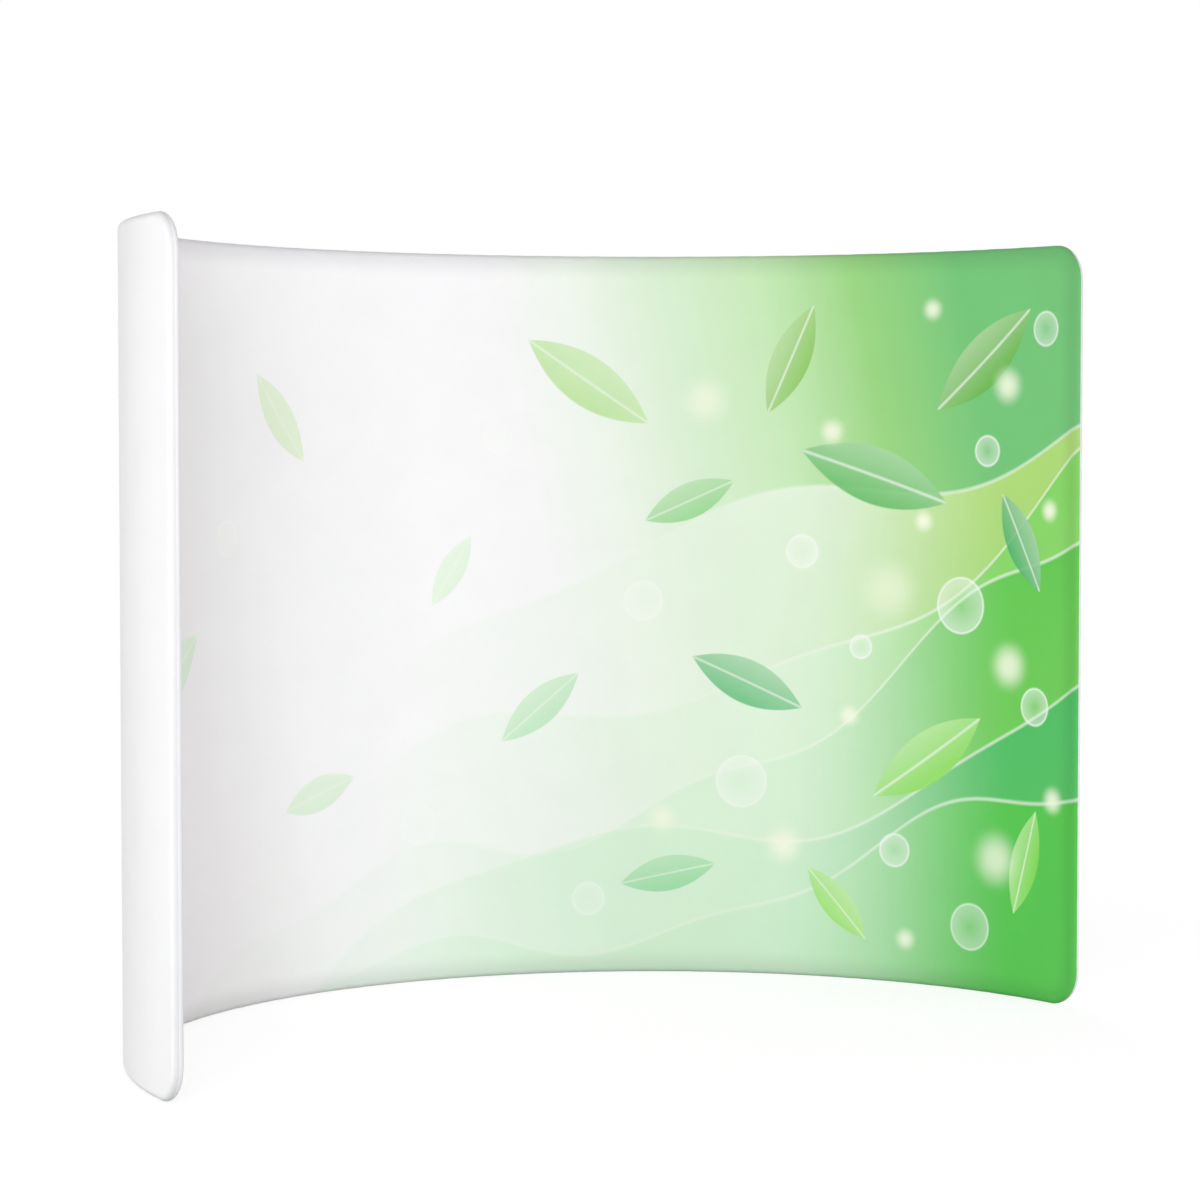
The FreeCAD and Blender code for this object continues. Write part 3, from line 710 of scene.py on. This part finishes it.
# %% Draw the waves
for middle, slope, *swells, left, right, left_strength in WAVES:
    curve = node("ShaderNodeMath", {0: along, 1: slope, 2: middle}, operation="MULTIPLY_ADD")
    for size, length, start in swells:
        turn = node("ShaderNodeMath", {0: along, 1: 2 * math.pi / length, 2: start}, operation="MULTIPLY_ADD")
        sine = node("ShaderNodeMath", {0: turn.outputs[0]}, operation="SINE")
        swell = {0: sine.outputs[0], 1: size, 2: curve.outputs[0]}
        curve = node("ShaderNodeMath", swell, operation="MULTIPLY_ADD")
    depth = node("ShaderNodeMath", {0: curve.outputs[0], 1: height}, operation="SUBTRACT").outputs[0]
    inside = node("ShaderNodeMapRange", {"Value": depth, "From Max": EDGE_SOFTNESS}).outputs[0]
    across = {"Value": along, "From Min": COLOURS_FROM, "From Max": COLOURS_TO}
    across = node("ShaderNodeMapRange", across, interpolation_type="SMOOTHSTEP")
    fill = node("ShaderNodeMix", {0: across.outputs[0], 6: colour(left), 7: colour(right)}, data_type="RGBA")
    growth = {"Value": along, "From Min": GROWS_FROM, "From Max": GROWS_TO}
    strengths = {"To Min": left_strength, "To Max": FULL_STRENGTH}
    strength = node("ShaderNodeMapRange", growth | strengths).outputs[0]
    fade = {"Value": depth, "From Max": FADE_DEPTH, "To Min": 1.0, "To Max": FADED_SHARE}
    fade = node("ShaderNodeMapRange", fade)
    cover = node("ShaderNodeMath", {0: inside, 1: strength}, operation="MULTIPLY")
    cover = node("ShaderNodeMath", {0: cover.outputs[0], 1: fade.outputs[0]}, operation="MULTIPLY")
    mixed = node("ShaderNodeMix", {0: cover.outputs[0], 6: picture, 7: fill.outputs[2]}, data_type="RGBA")
    near = node("ShaderNodeMath", {0: depth}, operation="ABSOLUTE")
    rim = {"Value": near.outputs[0], "From Max": LINE_WIDTH, "To Min": LINE_STRENGTH, "To Max": 0.0}
    line = node("ShaderNodeMapRange", rim)
    line = node("ShaderNodeMath", {0: line.outputs[0], 1: strength}, operation="MULTIPLY")
    mixed = node("ShaderNodeMix", {0: line.outputs[0], 6: mixed.outputs[2], 7: LINE_COLOUR}, data_type="RGBA")
    picture = mixed.outputs[2]
print("nodes in the print so far:", len(print_cloth.node_tree.nodes))

# %% [markdown]
# A leaf is the place where two parabolas meet: narrow at both tips and full in the middle. A mapping node
# turns and scales the flat cut, so that every leaf is the same unit leaf. A pale line down its middle is
# the rib.

# %% Where the leaves lie
# Place along and up, half length, turn in degrees, slimness, colour, strength
LEAVES = (
    (-1.95, 0.52, 0.26, 62, 0.36, "#D6EECF", 0.7), (-1.62, 1.66, 0.18, -28, 0.34, "#E1F2D6", 0.7),
    (-1.12, 1.02, 0.21, 35, 0.36, "#DAF0D6", 0.7), (-0.52, 1.78, 0.17, -52, 0.34, "#DDEFC8", 0.75),
    (-0.36, 0.62, 0.15, 18, 0.36, "#D8F0D4", 0.7), (0.14, 1.30, 0.13, 58, 0.34, "#DDF4D8", 0.7),
    (0.60, 1.90, 0.24, -34, 0.34, "#BCE69A", 0.85), (0.93, 1.52, 0.16, 24, 0.36, "#93D88C", 0.85),
    (1.26, 1.97, 0.19, 66, 0.34, "#8CC95C", 0.9), (1.55, 1.60, 0.27, -18, 0.34, "#5ABD62", 0.9),
    (1.95, 1.96, 0.24, 40, 0.34, "#63B63E", 0.9), (2.10, 1.40, 0.17, -62, 0.36, "#41B068", 0.9),
    (0.44, 0.86, 0.17, 40, 0.34, "#BDE9C0", 0.8), (1.12, 0.94, 0.2, -24, 0.36, "#4FBF78", 0.85),
    (1.74, 0.72, 0.24, 34, 0.34, "#8FE05C", 0.9), (2.12, 0.42, 0.17, 74, 0.34, "#84DE52", 0.9),
    (0.86, 0.32, 0.16, 12, 0.36, "#8FDCA0", 0.8), (1.42, 0.24, 0.15, -48, 0.34, "#A2E86A", 0.85),
)
TIP_SOFTNESS = 0.02
RIB_WIDTH, RIB_STRENGTH = 0.03, 0.75
LEAF_LIGHT, LIGHT_SHARE = colour("#F2FBE6"), 0.4
RIB_COLOUR = colour("#F7FDF3")
print("leaves:", len(LEAVES))

# %% Draw the leaves
for leaf_along, leaf_height, half_length, turn, slimness, shade, strength in LEAVES:
    unit = node(
        "ShaderNodeMapping",
        {
            "Vector": place,
            "Location": (leaf_along, leaf_height, 0.0),
            "Rotation": (0.0, 0.0, math.radians(turn)),
            "Scale": (half_length, half_length, 1.0),
        },
        vector_type="TEXTURE",
    )
    axes = node("ShaderNodeSeparateXYZ", {0: unit.outputs[0]})
    square = node("ShaderNodeMath", {0: axes.outputs["X"], 1: axes.outputs["X"]}, operation="MULTIPLY")
    bow = {0: square.outputs[0], 1: -slimness, 2: slimness}
    half_width = node("ShaderNodeMath", bow, operation="MULTIPLY_ADD")
    off_rib = node("ShaderNodeMath", {0: axes.outputs["Y"]}, operation="ABSOLUTE")
    depth = node("ShaderNodeMath", {0: half_width.outputs[0], 1: off_rib.outputs[0]}, operation="SUBTRACT")
    depth = depth.outputs[0]
    inside = node("ShaderNodeMapRange", {"Value": depth, "From Max": TIP_SOFTNESS, "To Max": strength})
    tone = node(
        "ShaderNodeMapRange",
        {"Value": axes.outputs["Y"], "From Min": -slimness, "From Max": slimness, "To Max": LIGHT_SHARE},
    )
    fill = node("ShaderNodeMix", {0: tone.outputs[0], 6: colour(shade), 7: LEAF_LIGHT}, data_type="RGBA")
    mixed = node("ShaderNodeMix", {0: inside.outputs[0], 6: picture, 7: fill.outputs[2]}, data_type="RGBA")
    rib = {"Value": off_rib.outputs[0], "From Max": RIB_WIDTH, "To Min": RIB_STRENGTH, "To Max": 0.0}
    rib = node("ShaderNodeMapRange", rib)
    rib = node("ShaderNodeMath", {0: rib.outputs[0], 1: inside.outputs[0]}, operation="MULTIPLY")
    mixed = node("ShaderNodeMix", {0: rib.outputs[0], 6: mixed.outputs[2], 7: RIB_COLOUR}, data_type="RGBA")
    picture = mixed.outputs[2]
print("nodes in the print so far:", len(print_cloth.node_tree.nodes))

# %% [markdown]
# Rings are thin and pale, like bubbles: the distance from a centre, compared with a radius. A spot of
# light is the same distance, from full white in the middle to nothing at its rim.

# %% Where the rings and spots lie
# Place along and up, radius, strength
RINGS = (
    (-2.05, 1.35, 0.07, 0.5), (-1.4, 0.36, 0.09, 0.5), (-0.78, 1.42, 0.05, 0.45), (0.02, 0.5, 0.06, 0.5),
    (0.3, 1.72, 0.045, 0.6), (0.78, 1.2, 0.06, 0.7), (1.1, 0.62, 0.08, 0.8), (1.3, 1.36, 0.05, 0.8),
    (1.5, 1.06, 0.035, 0.85), (1.86, 1.2, 0.085, 0.85), (1.96, 1.68, 0.045, 0.8), (2.16, 0.9, 0.055, 0.85),
    (1.62, 0.42, 0.05, 0.8), (2.2, 2.05, 0.05, 0.75), (0.6, 0.24, 0.05, 0.6), (1.9, 0.2, 0.07, 0.7),
)
SPOTS = (
    (0.98, 1.84, 0.11, 0.6), (1.4, 1.74, 0.06, 0.8), (1.24, 0.42, 0.09, 0.85), (1.72, 1.46, 0.05, 0.9),
    (2.04, 1.88, 0.08, 0.8), (2.22, 1.5, 0.05, 0.9), (2.05, 1.02, 0.1, 0.8), (1.46, 0.84, 0.05, 0.85),
    (2.24, 0.62, 0.06, 0.85), (2.0, 0.42, 0.12, 0.7), (1.66, 0.14, 0.05, 0.85), (1.75, 2.12, 0.05, 0.8),
    (1.6, 1.24, 0.14, 0.5), (0.84, 0.5, 0.07, 0.7),
)
RING_WIDTH = 7 * MM
FILM_STRENGTH = 0.1
RING_COLOUR = colour("#FCFFFA")
SPOT_COLOUR = colour("#FBFFE9")
print("rings:", len(RINGS), "spots of light:", len(SPOTS))


# %% Draw the rings and spots
def distance_from(spot_along, spot_height):
    """Distance on the flat cut from one spot."""
    flat = node("ShaderNodeVectorMath", {0: place, 1: (1.0, 1.0, 0.0)}, operation="MULTIPLY").outputs[0]
    spot = (spot_along, spot_height, 0.0)
    return node("ShaderNodeVectorMath", {0: flat, 1: spot}, operation="DISTANCE").outputs["Value"]


for ring_along, ring_height, radius, strength in RINGS:
    away = distance_from(ring_along, ring_height)
    beside = node("ShaderNodeMath", {0: away, 1: radius}, operation="SUBTRACT")
    beside = node("ShaderNodeMath", {0: beside.outputs[0]}, operation="ABSOLUTE").outputs[0]
    rim = {"Value": beside, "From Max": RING_WIDTH, "To Min": strength, "To Max": 0.0}
    line = node("ShaderNodeMapRange", rim)
    film = {"Value": away, "From Max": radius, "To Min": FILM_STRENGTH, "To Max": strength / 2}
    glow = node("ShaderNodeMapRange", film)
    within = node("ShaderNodeMath", {0: away, 1: radius}, operation="LESS_THAN")
    glow = node("ShaderNodeMath", {0: glow.outputs[0], 1: within.outputs[0]}, operation="MULTIPLY")
    cover = node("ShaderNodeMath", {0: line.outputs[0], 1: glow.outputs[0]}, operation="MAXIMUM")
    mixed = node("ShaderNodeMix", {0: cover.outputs[0], 6: picture, 7: RING_COLOUR}, data_type="RGBA")
    picture = mixed.outputs[2]
for spot_along, spot_height, radius, strength in SPOTS:
    away = distance_from(spot_along, spot_height)
    glow = {"Value": away, "From Max": radius, "To Min": strength, "To Max": 0.0}
    cover = node("ShaderNodeMapRange", glow, interpolation_type="SMOOTHERSTEP")
    mixed = node("ShaderNodeMix", {0: cover.outputs[0], 6: picture, 7: SPOT_COLOUR}, data_type="RGBA")
    picture = mixed.outputs[2]

# painted shade darkens the print towards its seam
cloth_finish(node, place, picture, *PRINT_SEAM_PAINTED_SHADE)
front_panel.data.materials.append(print_cloth)
print("nodes in the print:", len(print_cloth.node_tree.nodes))

# %% [markdown]
# The zip's tape is woven polyester, and its turns are nylon, which is smoother and catches a small
# highlight. The stitches are spun polyester thread with a fine twist.

# %% Tape, nylon turns and thread
TAPE_RIB = 0.9 * MM
THREAD_TWIST = 0.5 * MM


def patterned(name, base, dark, pattern_scale, roughness, depth, specular=0.5, sheen=0.0):
    """A material with a fine even pattern in its colour and relief."""
    material, node = new_material(name)
    spot = node("ShaderNodeTexCoord").outputs["Object"]
    pattern = node("ShaderNodeTexNoise", {"Vector": spot, "Scale": pattern_scale})
    level = pattern.outputs["Fac"]
    tone = node("ShaderNodeMix", {0: level, 6: colour(dark), 7: colour(base)}, data_type="RGBA")
    bump = node("ShaderNodeBump", {"Height": level, "Distance": depth, "Strength": 0.6})
    shader = node(
        "ShaderNodeBsdfPrincipled",
        {
            "Base Color": tone.outputs[2], "Normal": bump.outputs["Normal"], "Roughness": roughness,
            "Specular IOR Level": specular, "Sheen Weight": sheen,
        },
    )
    node("ShaderNodeOutputMaterial", {"Surface": shader.outputs[0]})
    return material


tape_weave = patterned(
    "woven_polyester_tape", "#F1F1F1", "#DCDCDE", 1 / TAPE_RIB, 0.8, 0.1 * MM, specular=0.3, sheen=0.1,
)
nylon = patterned("nylon_coil", "#F4F4F2", "#E8E8E6", 1 / (2 * MM), 0.42, 0.02 * MM)
thread = patterned(
    "spun_polyester_thread", "#F3F3F3", "#DADADA", 1 / THREAD_TWIST, 0.7, 0.05 * MM, specular=0.3, sheen=0.1,
)
for tape in (upper_tape, lower_tape):
    tape.data.materials.append(tape_weave)
for turns in (upper_turns, lower_turns):
    turns.data.materials.append(nylon)
for stitches in (upper_stitches, lower_stitches):
    stitches.data.materials.append(thread)
print("materials so far:", [m.name for m in bpy.data.materials if m.users])

# %% [markdown]
# The frame's metals keep the model's own shapes. The tubes are drawn and anodised aluminium: a satin grey
# whose fine lines run along the tube. The spigots are bare extruded aluminium, a little brighter and
# rougher, with longer drawing lines. Rivets are aluminium too, and dull where the tool set them. Springs
# and buttons are bright steel with a warmer tint, and the slider is die-cast zinc with a nickel plating.

# %% Metals
SMOOTHER, ROUGHER = 0.06, 0.08
LINES_PER_MARK = 12


def metal(name, base, worn, roughness, line_scale, line_depth, stretch=(1.0, 1.0, 1.0)):
    """Metal with fine lines: noise that is stretched along one axis, in its colour, roughness and relief."""
    material, node = new_material(name)
    spot = node("ShaderNodeTexCoord").outputs["Object"]
    spot = node("ShaderNodeVectorMath", {0: spot, 1: stretch}, operation="MULTIPLY").outputs[0]
    lines = {"Vector": spot, "Scale": line_scale, "Detail": 5.0, "Roughness": 0.6}
    lines = node("ShaderNodeTexNoise", lines).outputs["Fac"]
    marks = node("ShaderNodeTexNoise", {"Vector": spot, "Scale": line_scale / LINES_PER_MARK, "Detail": 2.0})
    tone = node("ShaderNodeMix", {0: lines, 6: colour(worn), 7: colour(base)}, data_type="RGBA")
    smooth, rough = roughness - SMOOTHER, roughness + ROUGHER
    gloss = node(
        "ShaderNodeMapRange",
        {"Value": marks.outputs["Fac"], "From Min": 0.3, "From Max": 0.7, "To Min": smooth, "To Max": rough},
    )
    bump = node("ShaderNodeBump", {"Height": lines, "Distance": line_depth, "Strength": 0.5})
    shader = node(
        "ShaderNodeBsdfPrincipled",
        {
            "Base Color": tone.outputs[2], "Normal": bump.outputs["Normal"], "Roughness": gloss.outputs[0],
            "Metallic": 1.0,
        },
    )
    node("ShaderNodeOutputMaterial", {"Surface": shader.outputs[0]})
    return material


LINE_PITCH = 0.8 * MM
LINE_DEPTH = 0.01 * MM
FINE, MIDDLE, BROAD = 1 / LINE_PITCH, 0.5 / LINE_PITCH, 0.33 / LINE_PITCH
UPRIGHT = (1.0, 1.0, 0.02)
LEVEL = (0.2, 0.2, 1.0)
rail_tube = metal("anodised_aluminium_rail", "#C9CACC", "#B7B8BB", 0.36, FINE, LINE_DEPTH, LEVEL)
upright_tube = metal("anodised_aluminium_upright", "#C9CACC", "#B7B8BB", 0.36, FINE, LINE_DEPTH, UPRIGHT)
bare_aluminium = metal("extruded_aluminium", "#D8D8D6", "#BEBEBC", 0.42, FINE, LINE_DEPTH, UPRIGHT)
rivet_aluminium = metal("pressed_rivet_aluminium", "#CDCDCB", "#AFAFAD", 0.48, MIDDLE, LINE_DEPTH)
spring_steel = metal("bright_spring_steel", "#C6C2BB", "#A8A49D", 0.25, MIDDLE, LINE_DEPTH)
nickel_zinc = metal("nickel_plated_zinc", "#BDBBB7", "#A19E99", 0.2, BROAD, LINE_DEPTH)

FINISH_BY_WORD = (
    ("button", spring_steel), ("spring", spring_steel), ("rivet", rivet_aluminium), ("stub", bare_aluminium),
    ("spigot", bare_aluminium), ("zip_", nickel_zinc), ("support", upright_tube), ("upright", upright_tube),
    ("rail", rail_tube),
)


def finish_of(name):
    return next((finish for word, finish in FINISH_BY_WORD if word in name), None)


for name, obj in nodes.items():
    finish = finish_of(name)
    if finish is not None:
        for slot in obj.material_slots:
            slot.material = finish
print("frame pieces dressed:", sum(finish_of(name) is not None for name in nodes))

# %% [markdown]
# Each new piece now moves with the wall's body, and the frame's pieces that the panels, tapes and turns
# take the place of are hidden. The size each panel was cut to is printed.

# %% Tie the pieces to the frame
tubes = [name for name in nodes if "rail_" in name and name[-1].isdigit() and "button" not in name]
tubes += [name for name in nodes if "upright_" in name and name.endswith(("upper", "lower"))]


def cut_size(side):
    """Width and height that a panel is cut to, seam to seam."""
    roll = cloth_reach * math.pi / 2
    width = 2 * ((arc_radius + side * cloth_reach) * bend_angle + corner_radius + roll)
    return width, top_rail_height - bottom_rail_height + 2 * roll


DRESSING = (
    (front_panel, "front_print_panel", "printed_cloth"), (rear_panel, "back_panel", "white_cloth"),
    (upper_tape, "zip_upper_tape", "zip_tape"), (lower_tape, "zip_lower_tape", "zip_tape"),
    (upper_turns, "zip_upper_coil", "zip_teeth"), (lower_turns, "zip_lower_coil", "zip_teeth"),
)
for piece, node_name, slot_name in DRESSING:
    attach(piece, "wall")
    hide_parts(node_name)
for piece in (upper_stitches, lower_stitches):
    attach(piece, "wall")

print("printed panel cut to", [round(v, 3) for v in cut_size(-1)])
print("white panel cut to", [round(v, 3) for v in cut_size(1)])

# %% [markdown]
# The studio is plain: a white floor that runs into a white background, one large soft lamp at the front
# left, weaker ones at the left, behind and low at the right, and an even white sky. The camera sees
# mostly plain white on the floor, with just enough of the real shading left to keep the wall's soft
# shadow. Mirrors and glass would see the same white.

# %% Floor and background
FLOOR_RADIUS = 40.0
FLOOR_DROP = 0.4 * MM
SHADOW_SHARE = 0.3
SHADOW_FROM, SHADOW_TO = 1.8, 4.2
FLOOR_GLOW = 0.26  # what the lamps leave short of full white on the open floor


def seen_directly(node):
    """One where a ray comes from the camera, a mirror or glass, and zero where it lights a surface."""
    ray = node("ShaderNodeLightPath").outputs
    mirror = {0: ray["Is Glossy Ray"], 1: ray["Is Transmission Ray"]}
    mirror = node("ShaderNodeMath", mirror, operation="MAXIMUM").outputs[0]
    return node("ShaderNodeMath", {0: ray["Is Camera Ray"], 1: mirror}, operation="MAXIMUM").outputs[0]


floor_material, node = new_material("white_floor")
flat_white = node("ShaderNodeEmission", {"Color": colour("#FFFFFF"), "Strength": 1.0})
lit_white = node("ShaderNodeBsdfDiffuse", {"Color": colour("#F4F4F4")})
glow = node("ShaderNodeEmission", {"Color": colour("#FFFFFF"), "Strength": FLOOR_GLOW})
lit_white = node("ShaderNodeAddShader", {0: lit_white.outputs[0], 1: glow.outputs[0]})
from_middle = node("ShaderNodeNewGeometry").outputs["Position"]
from_middle = node("ShaderNodeVectorMath", {0: from_middle}, operation="LENGTH")
share = node(
    "ShaderNodeMapRange",
    {
        "Value": from_middle.outputs["Value"], "From Min": SHADOW_FROM, "From Max": SHADOW_TO,
        "To Min": SHADOW_SHARE, "To Max": 0.0,
    },
    interpolation_type="SMOOTHSTEP",
)
shown = node("ShaderNodeMixShader", {0: share.outputs[0], 1: flat_white.outputs[0], 2: lit_white.outputs[0]})
other = node("ShaderNodeBsdfDiffuse", {"Color": colour("#E6E6E6")})
both = node("ShaderNodeMixShader", {0: seen_directly(node), 1: other.outputs[0], 2: shown.outputs[0]})
node("ShaderNodeOutputMaterial", {"Surface": both.outputs[0]})

floor_turns = np.linspace(0, 2 * math.pi, 97)[:-1]
floor_ring = np.column_stack([np.cos(floor_turns), np.sin(floor_turns), np.zeros(len(floor_turns))])
floor = mesh_object("studio_floor", floor_ring * FLOOR_RADIUS, [tuple(range(len(floor_turns)))])
floor.location.z = -FLOOR_DROP
floor.data.materials.append(floor_material)

SKY_LIGHT = 0.48
world = bpy.data.worlds.new("studio_sky")
world.use_nodes = True
world.node_tree.nodes.clear()
sky = functools.partial(add, world.node_tree)
level = sky("ShaderNodeMapRange", {"Value": seen_directly(sky), "To Min": SKY_LIGHT, "To Max": 1.0})
white = sky("ShaderNodeBackground", {"Color": colour("#FFFFFF"), "Strength": level.outputs[0]})
sky("ShaderNodeOutputWorld", {"Surface": white.outputs[0]})
bpy.context.scene.world = world
print("sky light", SKY_LIGHT, "of full white")

# %% Lamps
# Name, place, side, power in watts
LAMPS = (
    ("key_softbox", (-5.0, -6.6, 3.0), 3.6, 374), ("side_softbox", (-7.5, -1.5, 1.6), 4.0, 88),
    ("low_softbox", (4.0, -3.6, 0.7), 1.4, 76), ("rear_softbox", (2.6, 7.3, 3.4), 5.0, 265),
)
wall_middle = Vector((0.0, 0.0, (top_rail_height + bottom_rail_height) / 2))
for name, stand, side, power in LAMPS:
    data = bpy.data.lights.new(name, "AREA")
    data.shape = "SQUARE"
    data.size = side
    data.energy = power
    lamp = bpy.data.objects.new(name, data)
    bpy.context.scene.collection.objects.link(lamp)
    lamp.location = stand
    lamp.rotation_euler = (wall_middle - lamp.location).to_track_quat("-Z", "Y").to_euler()
    lamp.visible_camera = False

# %% [markdown]
# The camera stands where the photo was taken from. Its place comes from a fit of the wall's outline:
# about 9.5 m away, at eye height, 32 degrees to the left of the wall's middle, with a long lens.

# %% Camera
CAMERA_DISTANCE = 9.488
CAMERA_SIDESTEP = -0.171
CAMERA_HEIGHT = 1.711
CAMERA_AZIMUTH = math.radians(-31.545)
CAMERA_PITCH = math.radians(2.668)
FOCAL_LENGTH_PIXELS = 3412.9
FRAME_PIXELS = 1200

ahead = Vector((-math.sin(CAMERA_AZIMUTH), math.cos(CAMERA_AZIMUTH), 0.0))
right = Vector((math.cos(CAMERA_AZIMUTH), math.sin(CAMERA_AZIMUTH), 0.0))
look = ahead * math.cos(CAMERA_PITCH) - Vector((0.0, 0.0, math.sin(CAMERA_PITCH)))
camera_data = bpy.data.cameras.new("camera")
camera_data.sensor_fit = "HORIZONTAL"
camera_data.lens = camera_data.sensor_width * FOCAL_LENGTH_PIXELS / FRAME_PIXELS
camera = bpy.data.objects.new("camera", camera_data)
bpy.context.scene.collection.objects.link(camera)
camera.location = Vector((axis_x, axis_y, CAMERA_HEIGHT)) - ahead * CAMERA_DISTANCE + right * CAMERA_SIDESTEP
camera.rotation_euler = look.to_track_quat("-Z", "Y").to_euler()
bpy.context.scene.camera = camera
bpy.context.scene.view_settings.view_transform = "Standard"
print("lens in mm:", round(camera_data.lens, 1), "camera at", [round(v, 2) for v in camera.location])
